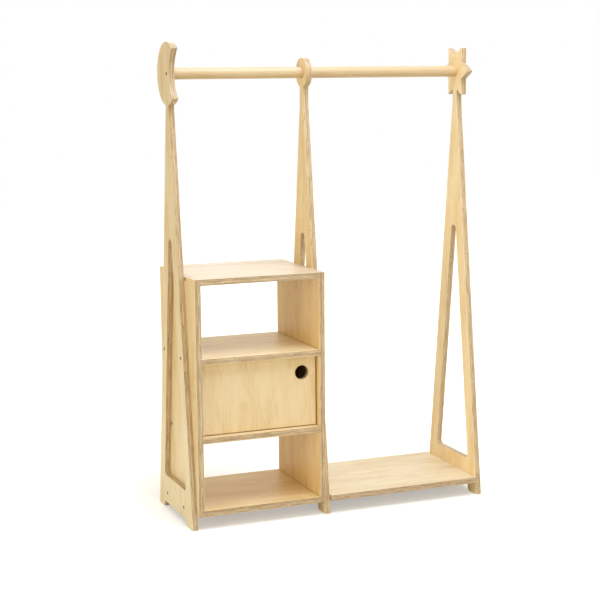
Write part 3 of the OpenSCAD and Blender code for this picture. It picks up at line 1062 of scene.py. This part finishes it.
def trestle_loops(head, holes):
    """Outer edge, window and round holes of a trestle, along Y and Z."""
    sizes = bpy.context.scene.trestle_sizes
    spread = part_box("trestle_centre")[1].y
    half = sizes.stem_width / 2
    arch = spread - sizes.foot_width
    r = sizes.foot_round
    outer = [(spread, 0.0), (half, sizes.stem_height)]
    outer += head
    outer += [(-half, sizes.stem_height), (-spread, 0.0)]
    outer += arc((-arch - r, r), r, -90, 0, step=10.0)
    outer += [(-arch, sizes.arch_height), (arch, sizes.arch_height)]
    outer += arc((arch + r, r), r, 180, 270, step=10.0)
    taper = side_slope()
    apex = sizes.window_reach / taper
    sill = sizes.window_reach - taper * sizes.sill_height
    top_round = (apex - sizes.window_top) / (1 / math.sin(math.atan(taper)) - 1)
    window = soften(
        [(-sill, sizes.sill_height), (sill, sizes.sill_height), (0.0, apex)],
        [sizes.sill_round, sizes.sill_round, top_round],
        step=9.0,
    )
    return [outer, window, *holes]


class STORAGE_OT_trestles(bpy.types.Operator):
    """Cut the three trestles with their moon, ring and star heads"""

    bl_idname = "storage.trestles"
    bl_label = "Trestles"

    def execute(self, context):
        sizes = context.scene.trestle_sizes
        rail = middle("hanging_rail").z
        through = [middle(board).z for board in BY_TRESTLE]
        low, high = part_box("hanging_rail")
        rail_hole = circle((0.0, rail), (high.z - low.z) / 2 + RAIL_PLAY, steps=64)
        for node, head, holes in (
            ("trestle_left", moon_head, panel_holes(through, [(0.0, rail)])),
            ("trestle_centre", ring_head, [rail_hole, *panel_holes(through)]),
            ("trestle_right", star_head, panel_holes(through[1:], [(0.0, rail)])),
        ):
            cut_board(node, "X", trestle_loops(head(sizes, rail), holes), plywood(node, "X"))
        return {"FINISHED"}


# ---------------------------------------------------------------- rail


class STORAGE_OT_rail(bpy.types.Operator):
    """Turn the hanging rail"""

    bl_idname = "storage.rail"
    bl_label = "Rail"

    def execute(self, context):
        low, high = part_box("hanging_rail")
        axis = middle("hanging_rail")
        start, end = Vector((low.x, axis.y, axis.z)), Vector((high.x, axis.y, axis.z))
        radius = (high.z - low.z) / 2
        piece = turned_bar("hanging_rail_bar", start, end, radius, easing=0.8 * MM, sides=96)
        piece.data.materials.append(finish("rail wood", rail_wood))
        shade(piece)
        stand_for(piece, "frame", "hanging_rail")
        return {"FINISHED"}


# ---------------------------------------------------------------- cabinet and bay shelf


def housing_cutter(side):
    """Blocks that cut the housings of the four boards into a cabinet side, with a hair of play
    that shows as a dark line round each board."""
    side_low, side_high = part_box(side)
    boxes = []
    for node in BOARDS:
        low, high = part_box(node)
        above = PAST if node == "cabinet_top" else HOUSING_PLAY
        below = PAST if node == "cabinet_base" else HOUSING_PLAY
        at_left = side == "cabinet_side_left"
        left, right = (low.x, low.x + PAST) if at_left else (high.x - PAST, high.x)
        front, rear = side_low.y - PAST, side_high.y + PAST
        boxes.append(((left, front, low.z - below), (right, rear, high.z + above)))
    return blocks("housing cutter", boxes)


class STORAGE_OT_cabinet(bpy.types.Operator):
    """Cut the cabinet's sides, boards and back panel"""

    bl_idname = "storage.cabinet"
    bl_label = "Cabinet"

    def execute(self, context):
        screwed = [middle(board).z for board in BY_SIDE]
        for node in ("cabinet_side_left", "cabinet_side_right"):
            low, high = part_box(node)
            loops = [rectangle(low.yz, high.yz), *panel_holes(screwed)]
            cut_board(node, "X", loops, plywood(node, "X"), cutter=housing_cutter(node))
        for node in BOARDS:
            lying_board(node)
        self.back_panel()
        return {"FINISHED"}

    def back_panel(self):
        """Thin panel that closes the cupboard, seen from behind between its boards."""
        left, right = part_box("cabinet_side_left")[1].x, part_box("cabinet_side_right")[0].x
        floor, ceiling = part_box("lower_shelf")[1].z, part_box("upper_shelf")[0].z
        cut_board(
            "cupboard_back",
            "Y",
            [rectangle((left, floor), (right, ceiling))],
            plywood("cupboard_back", "Y", plies=5),
            kind="panel",
            easing=0.3 * MM,
        )


class STORAGE_OT_bay_shelf(bpy.types.Operator):
    """Cut the low shelf of the hanging bay and finish its dowels"""

    bl_idname = "storage.bay_shelf"
    bl_label = "Bay shelf"

    def execute(self, context):
        lying_board("bay_shelf")
        paint_node("bay_shelf_dowels", finish("rail wood", rail_wood))
        return {"FINISHED"}


# ---------------------------------------------------------------- door, hinges and catch


def hinge_spans():
    """Lower and upper end of the lower and of the upper hinge, read from their pins."""
    heights = [vertex.co.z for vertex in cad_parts["hinge_pins"].data.vertices]
    halfway = middle("hinge_pins").z
    lower = [z for z in heights if z < halfway]
    upper = [z for z in heights if z > halfway]
    return (min(lower), max(lower)), (min(upper), max(upper))


def door_outline():
    """Door edge with its two hinge recesses at the left, along X and Z."""
    low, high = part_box("door")
    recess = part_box("hinge_door_leaves")[1].x
    left_edge = []
    for start, end in reversed(hinge_spans()):
        foot, top = start - LEAF_PLAY, end + LEAF_PLAY
        left_edge += [(low.x, top), (recess, top), (recess, foot), (low.x, foot)]
    return [(low.x, low.z), (high.x, low.z), (high.x, high.z), (low.x, high.z), *left_edge]


class STORAGE_OT_door(bpy.types.Operator):
    """Cut the cupboard door with its finger hole"""

    bl_idname = "storage.door"
    bl_label = "Door"

    def execute(self, context):
        sizes = context.scene.door_sizes
        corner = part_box("door")[1]
        finger = (corner.x - sizes.finger_in, corner.z - sizes.finger_down)
        loops = [door_outline(), circle(finger, sizes.finger_radius, steps=72)]
        cut_board("door", "Y", loops, plywood("door", "Y"), body="door")
        return {"FINISHED"}


def hinge_points(x):
    """Places of the hinge screws at one face."""
    y = middle("hinge_frame_screws").y
    return [
        (x, y, start + share * (end - start))
        for start, end in hinge_spans()
        for share in HINGE_SCREWS
    ]


class STORAGE_OT_hinges(bpy.types.Operator):
    """Finish the two butt hinges and their screws"""

    bl_idname = "storage.hinges"
    bl_label = "Hinges"

    def execute(self, context):
        for node in ("hinge_frame_leaves", "hinge_door_leaves", "hinge_pins"):
            paint_node(node, zinc_plate())
        frame_face = hinge_points(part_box("hinge_frame_screws")[1].x)
        door_face = hinge_points(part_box("hinge_door_screws")[0].x)
        zinc_screws("hinge_frame_screws", "hinge", frame_face, TO_RIGHT)
        zinc_screws("hinge_door_screws", "hinge", door_face, TO_LEFT, body="door")
        return {"FINISHED"}


class STORAGE_OT_catch(bpy.types.Operator):
    """Make the magnetic catch, its plate and their screws"""

    bl_idname = "storage.catch"
    bl_label = "Catch"

    def execute(self, context):
        self.magnet_block()
        low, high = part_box("catch_body_screws")
        head = ZINC_SCREWS["catch body"][0] * MM
        y, z = middle("catch_body_screws").y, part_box("catch_body")[0].z
        points = [(x, y, z) for x in (low.x + head, high.x - head)]
        zinc_screws("catch_body_screws", "catch body", points, TO_FLOOR)
        paint_node("catch_plate", zinc_plate())
        place = middle("catch_plate_screw")
        place.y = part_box("catch_plate_screw")[1].y
        zinc_screws("catch_plate_screw", "catch plate", [place], TO_REAR, body="door")
        return {"FINISHED"}

    def magnet_block(self):
        """Plastic block with two steel pole strips that stand out of its front face."""
        proud, reach, depth = 0.5 * MM, 9 * MM, 2 * MM
        thickness, inset = 1.4 * MM, 3.2 * MM
        low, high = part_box("catch_body")
        body = blocks("catch_body_block", [((low.x, low.y + proud, low.z), high)])
        ease_edges(body, width=1.2 * MM, segments=3)
        settle(body)
        body.data.materials.append(finish("catch plastic", catch_plastic))
        stand_for(body, "frame", "catch_body")
        x = middle("catch_body").x
        strips = [
            ((x - reach, low.y, z), (x + reach, low.y + depth, z + thickness))
            for z in (low.z + inset, high.z - inset - thickness)
        ]
        poles = blocks("catch_pole_strips", strips)
        ease_edges(poles, width=0.2 * MM)
        settle(poles)
        poles.data.materials.append(zinc_plate())
        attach(poles, "frame")


# ---------------------------------------------------------------- mirror


class STORAGE_OT_mirror(bpy.types.Operator):
    """Cut the mirror sheet and its screws"""

    bl_idname = "storage.mirror"
    bl_label = "Mirror"

    def execute(self, context):
        sizes = context.scene.mirror_sizes
        low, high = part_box("mirror")
        foot, head = high.y, high.y - side_slope() * (high.z - low.z)
        corners = [(-foot, low.z), (foot, low.z), (head, high.z), (-head, high.z)]
        rounds = [sizes.foot_round] * 2 + [sizes.head_round] * 2
        screws = [
            (side * y, z)
            for y, z in (
                (foot - sizes.foot_in, low.z + sizes.screw_up),
                (head - sizes.head_in, high.z - sizes.screw_up),
            )
            for side in (-1, 1)
        ]
        cut_board(
            "mirror",
            "X",
            [
                soften(corners, rounds, step=10.0),
                *(circle(place, sizes.screw_hole, steps=24) for place in screws),
            ],
            finish("mirror sheet", mirror_sheet),
            kind="pane",
            easing=sizes.edge_easing,
        )
        points = [(high.x, y, z) for y, z in screws]
        zinc_screws("mirror_screws", "mirror", points, TO_RIGHT)
        return {"FINISHED"}


# ---------------------------------------------------------------- panel screws


class STORAGE_OT_screws(bpy.types.Operator):
    """Sink the panel screws into the trestles and the cabinet's sides"""

    bl_idname = "storage.screws"
    bl_label = "Panel screws"

    def execute(self, context):
        sizes = context.scene.fixing_sizes
        for node, through, turn, boards, reach in (
            ("shelf_screws_left", "trestle_left", TO_LEFT, BY_TRESTLE, sizes.long_screw),
            ("shelf_screws_right", "trestle_centre", TO_RIGHT, BY_TRESTLE, sizes.long_screw),
            ("side_screws_left", "cabinet_side_left", TO_LEFT, BY_SIDE, sizes.short_screw),
            ("side_screws_right", "cabinet_side_right", TO_RIGHT, BY_SIDE, sizes.short_screw),
            ("bay_shelf_screws", "trestle_right", TO_RIGHT, BY_TRESTLE[1:], sizes.short_screw),
        ):
            x = self.outer_face(through, turn)
            heights = [middle(board).z for board in boards]
            self.sink(node, turn, panel_points(x, heights), reach)
        rail = middle("hanging_rail").z
        for end, turn in (("left", TO_LEFT), ("right", TO_RIGHT)):
            x = self.outer_face(f"trestle_{end}", turn)
            self.sink("rail_screws", turn, [(x, 0.0, rail)], sizes.short_screw, end)
        return {"FINISHED"}

    def outer_face(self, node, turn):
        """Where the heads of screws that face to the left or to the right lie in a board."""
        low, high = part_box(node)
        return low.x if turn == TO_LEFT else high.x

    def sink(self, node, turn, points, reach, end="set"):
        """One piece of like screws; end names each half of a node that faces both ways."""
        sizes = bpy.context.scene.fixing_sizes
        head, shank = sizes.panel_head, sizes.panel_shank
        piece = place_screws(
            f"{node}_{end}",
            points,
            turn,
            finish("bronzed steel", screw_steel, sizes.screw_colour),
            (head, head - shank, shank, reach, sizes.recess, sizes.head_easing),
            sunk=True,
        )
        stand_for(piece, "frame", node)


# ---------------------------------------------------------------- studio


def seen_directly(nodes):
    """1 for camera, glossy and transmission rays, 0 for the rays that carry diffuse light."""
    camera, glossy, through = nodes.add(
        "ShaderNodeLightPath", take=("Is Camera Ray", "Is Glossy Ray", "Is Transmission Ray")
    )
    return camera.most(glossy).most(through)


def add_lamp(name, radiance, place, target, width, tint):
    """Square soft lamp of the given radiance and colour, aimed at the target."""
    data = bpy.data.lights.new(name, "AREA")
    data.color = tint
    data.shape = "SQUARE"
    data.size = width
    data.energy = radiance * math.pi * width**2
    lamp = bpy.data.objects.new(name, data)
    lamp.location = place
    lamp.rotation_euler = (Vector(target) - Vector(place)).to_track_quat("-Z", "Y").to_euler()
    bpy.context.scene.collection.objects.link(lamp)


class STORAGE_OT_studio(bpy.types.Operator):
    """Set up the floor, the lamps, the world and the camera"""

    bl_idname = "storage.studio"
    bl_label = "Studio"

    def execute(self, context):
        levels = context.scene.studio_levels
        self.floor(levels)
        self.world(context.scene, levels)
        for name, (place, target, width, tint) in LAMPS.items():
            add_lamp(f"{name} lamp", getattr(levels, name), place, target, width, tint)
        self.camera(context.scene)
        context.scene.view_settings.view_transform = "Standard"
        return {"FINISHED"}

    def floor(self, levels):
        """Pale floor that keeps the shadow; a little light is added where the camera sees it,
        and more of it away from the unit, so that the floor ends in white."""
        signs = ((-1, -1), (1, -1), (1, 1), (-1, 1))
        corners = [(x * FLOOR_HALF, y * FLOOR_HALF, 0.0) for x, y in signs]
        floor = new_piece("floor", corners, faces=[(0, 1, 2, 3)])
        material, nodes, point = start_material("pale floor")
        pale = toned([levels.floor] * 3, FLOOR_TINT)
        matt = nodes.add("ShaderNodeBsdfDiffuse", inputs={"Color": pale})
        x, y, z = nodes.split(point)
        # The glow rises outside an oval round the unit, which is narrower along X
        far = (x * x * 3.2 + y * y).rise(0.3, 1.4)
        glow = nodes.add("ShaderNodeEmission", inputs={"Strength": levels.floor_lift + far * 0.4})
        lifted = nodes.add("ShaderNodeAddShader", inputs={0: matt, 1: glow})
        surface = nodes.add(
            "ShaderNodeMixShader", inputs={0: seen_directly(nodes), 1: matt, 2: lifted}
        )
        nodes.add("ShaderNodeOutputMaterial", inputs={"Surface": surface})
        floor.data.materials.append(material)

    def world(self, scene, levels):
        """White where it is seen, and an even sky as a source of light."""
        scene.world = bpy.data.worlds.new("studio")
        scene.world.use_nodes = True
        scene.world.node_tree.nodes.clear()
        nodes = Nodes(scene.world.node_tree)
        sky, white = (
            nodes.add("ShaderNodeBackground", inputs={"Color": (*tint, 1.0), "Strength": level})
            for tint, level in ((SKY_TINT, levels.sky), ((1.0, 1.0, 1.0), 1.0))
        )
        light = nodes.add("ShaderNodeMixShader", inputs={0: seen_directly(nodes), 1: sky, 2: white})
        nodes.add("ShaderNodeOutputWorld", inputs={"Surface": light})

    def camera(self, scene):
        """Camera at the photograph's place."""
        turn, tilt, roll = (math.radians(angle) for angle in CAMERA_ANGLES)
        data = bpy.data.cameras.new("camera")
        data.lens = CAMERA_LENS
        data.sensor_width = CAMERA_SENSOR
        camera = bpy.data.objects.new("camera", data)
        camera.matrix_world = (
            Matrix.Translation(CAMERA_PLACE)
            @ Matrix.Rotation(turn, 4, "Z")
            @ Matrix.Rotation(math.pi / 2 - tilt, 4, "X")
            @ Matrix.Rotation(roll, 4, "Z")
        )
        scene.collection.objects.link(camera)
        scene.camera = camera


# ---------------------------------------------------------------- add-on


GROUPS = {
    "trestle_sizes": TrestleSizes,
    "plywood_look": PlywoodLook,
    "fixing_sizes": FixingSizes,
    "door_sizes": DoorSizes,
    "mirror_sizes": MirrorSizes,
    "studio_levels": StudioLevels,
}

OPERATORS = (
    STORAGE_OT_trestles,
    STORAGE_OT_rail,
    STORAGE_OT_cabinet,
    STORAGE_OT_bay_shelf,
    STORAGE_OT_door,
    STORAGE_OT_hinges,
    STORAGE_OT_catch,
    STORAGE_OT_mirror,
    STORAGE_OT_screws,
    STORAGE_OT_studio,
)


class STORAGE_PT_panel(bpy.types.Panel):
    """Lists the steps that build the unit, and their settings"""

    bl_label = "Storage unit"
    bl_idname = "STORAGE_PT_panel"
    bl_space_type = "VIEW_3D"
    bl_region_type = "UI"
    bl_category = "Storage unit"

    def draw(self, context):
        for operator in OPERATORS:
            self.layout.operator(operator.bl_idname)
        for name, group in GROUPS.items():
            box = self.layout.box()
            box.label(text=group.__doc__)
            for setting in group.__annotations__:
                box.prop(getattr(context.scene, name), setting)


def register():
    for group in GROUPS.values():
        bpy.utils.register_class(group)
    for name, group in GROUPS.items():
        setattr(bpy.types.Scene, name, bpy.props.PointerProperty(type=group))
    for operator in OPERATORS:
        bpy.utils.register_class(operator)
    bpy.utils.register_class(STORAGE_PT_panel)


def unregister():
    bpy.utils.unregister_class(STORAGE_PT_panel)
    for operator in reversed(OPERATORS):
        bpy.utils.unregister_class(operator)
    for name, group in GROUPS.items():
        delattr(bpy.types.Scene, name)
        bpy.utils.unregister_class(group)


def main():
    """Builds the unit and its studio."""
    register()
    for operator in OPERATORS:
        group, step = operator.bl_idname.split(".")
        getattr(getattr(bpy.ops, group), step)()


if __name__ == "__main__":
    main()
